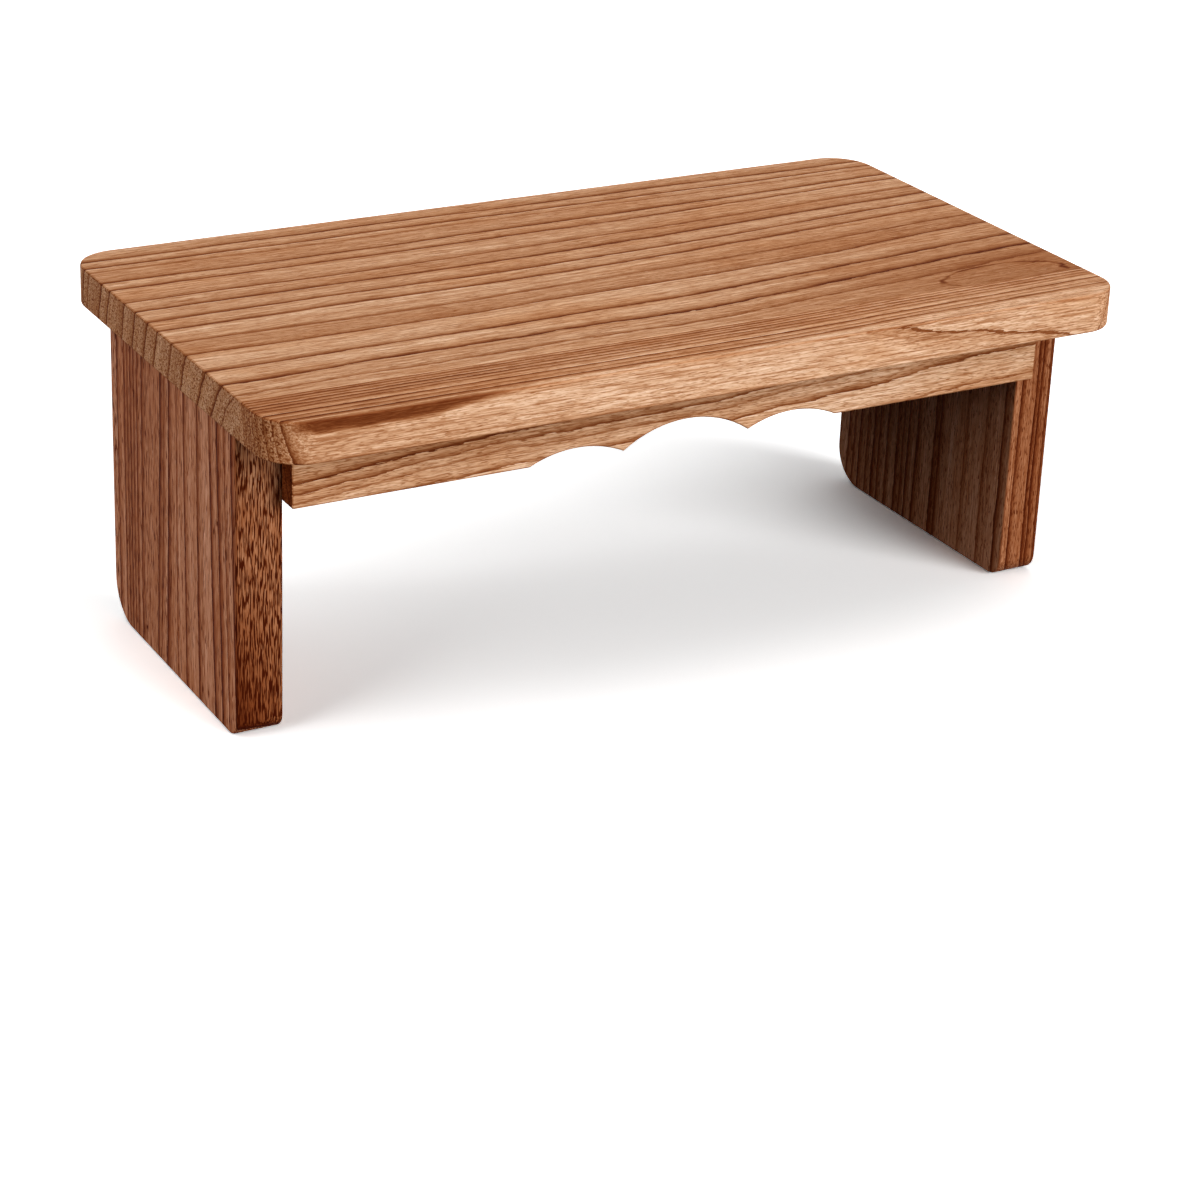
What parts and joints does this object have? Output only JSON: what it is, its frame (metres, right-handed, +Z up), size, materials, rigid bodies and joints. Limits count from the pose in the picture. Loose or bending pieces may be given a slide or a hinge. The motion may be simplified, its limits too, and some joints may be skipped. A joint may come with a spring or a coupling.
{
  "type": "folding meditation bench",
  "caption": "Low wooden kneeling bench with a flat rounded seat, inward-folding legs and scalloped aprons that fold outward under the seat.",
  "frame": {"origin": "on the floor under the middle of the seat, with the legs standing", "axes": "+X along the seat's length, +Y from the front edge to the back edge, +Z up"},
  "size_m": [0.44, 0.24, 0.165],
  "materials": {
    "seat_main_wood": "oiled, satin, straight grain",
    "seat_front_wood": "oiled, satin, flat-sawn front face",
    "apron_wood": "oiled, satin",
    "leg_wood": "oiled, satin",
    "hinge_steel": "black, semi-matt",
    "screw_steel": "black, semi-matt"
  },
  "bodies": {
    "seat": {"seat_main_board": "seat_main_wood", "seat_front_board": "seat_front_wood", "front_apron_left_hinge_seat_leaf": "hinge_steel", "front_apron_left_hinge_seat_screw_1": "screw_steel", "front_apron_left_hinge_seat_screw_2": "screw_steel", "front_apron_right_hinge_seat_leaf": "hinge_steel", "front_apron_right_hinge_seat_screw_1": "screw_steel", "front_apron_right_hinge_seat_screw_2": "screw_steel", "rear_apron_left_hinge_seat_leaf": "hinge_steel", "rear_apron_left_hinge_seat_screw_1": "screw_steel", "rear_apron_left_hinge_seat_screw_2": "screw_steel", "rear_apron_right_hinge_seat_leaf": "hinge_steel", "rear_apron_right_hinge_seat_screw_1": "screw_steel", "rear_apron_right_hinge_seat_screw_2": "screw_steel", "left_leg_front_hinge_seat_leaf": "hinge_steel", "left_leg_front_hinge_seat_screw_1": "screw_steel", "left_leg_front_hinge_seat_screw_2": "screw_steel", "left_leg_rear_hinge_seat_leaf": "hinge_steel", "left_leg_rear_hinge_seat_screw_1": "screw_steel", "left_leg_rear_hinge_seat_screw_2": "screw_steel", "right_leg_front_hinge_seat_leaf": "hinge_steel", "right_leg_front_hinge_seat_screw_1": "screw_steel", "right_leg_front_hinge_seat_screw_2": "screw_steel", "right_leg_rear_hinge_seat_leaf": "hinge_steel", "right_leg_rear_hinge_seat_screw_1": "screw_steel", "right_leg_rear_hinge_seat_screw_2": "screw_steel"},
    "front_apron": {"front_apron": "apron_wood", "front_apron_left_hinge_swing_leaf": "hinge_steel", "front_apron_left_hinge_swing_screw_1": "screw_steel", "front_apron_left_hinge_swing_screw_2": "screw_steel", "front_apron_right_hinge_swing_leaf": "hinge_steel", "front_apron_right_hinge_swing_screw_1": "screw_steel", "front_apron_right_hinge_swing_screw_2": "screw_steel"},
    "rear_apron": {"rear_apron": "apron_wood", "rear_apron_left_hinge_swing_leaf": "hinge_steel", "rear_apron_left_hinge_swing_screw_1": "screw_steel", "rear_apron_left_hinge_swing_screw_2": "screw_steel", "rear_apron_right_hinge_swing_leaf": "hinge_steel", "rear_apron_right_hinge_swing_screw_1": "screw_steel", "rear_apron_right_hinge_swing_screw_2": "screw_steel"},
    "left_leg": {"left_leg": "leg_wood", "left_leg_front_hinge_swing_leaf": "hinge_steel", "left_leg_front_hinge_swing_screw_1": "screw_steel", "left_leg_front_hinge_swing_screw_2": "screw_steel", "left_leg_rear_hinge_swing_leaf": "hinge_steel", "left_leg_rear_hinge_swing_screw_1": "screw_steel", "left_leg_rear_hinge_swing_screw_2": "screw_steel"},
    "right_leg": {"right_leg": "leg_wood", "right_leg_front_hinge_swing_leaf": "hinge_steel", "right_leg_front_hinge_swing_screw_1": "screw_steel", "right_leg_front_hinge_swing_screw_2": "screw_steel", "right_leg_rear_hinge_swing_leaf": "hinge_steel", "right_leg_rear_hinge_swing_screw_1": "screw_steel", "right_leg_rear_hinge_swing_screw_2": "screw_steel"}
  },
  "joints": [
    {"name": "left_leg_fold", "type": "hinge", "parent": "seat", "child": "left_leg", "pos_m": [-0.1971, 0, 0.1436], "axis": [0, -1, 0], "range_deg": [0, 90]},
    {"name": "right_leg_fold", "type": "hinge", "parent": "seat", "child": "right_leg", "pos_m": [0.1971, 0, 0.1436], "axis": [0, 1, 0], "range_deg": [0, 90]},
    {"name": "front_apron_fold", "type": "hinge", "parent": "seat", "child": "front_apron", "pos_m": [0, -0.0829, 0.1436], "axis": [-1, 0, 0], "range_deg": [0, 90]},
    {"name": "rear_apron_fold", "type": "hinge", "parent": "seat", "child": "rear_apron", "pos_m": [0, 0.0829, 0.1436], "axis": [1, 0, 0], "range_deg": [0, 90]}
  ]
}
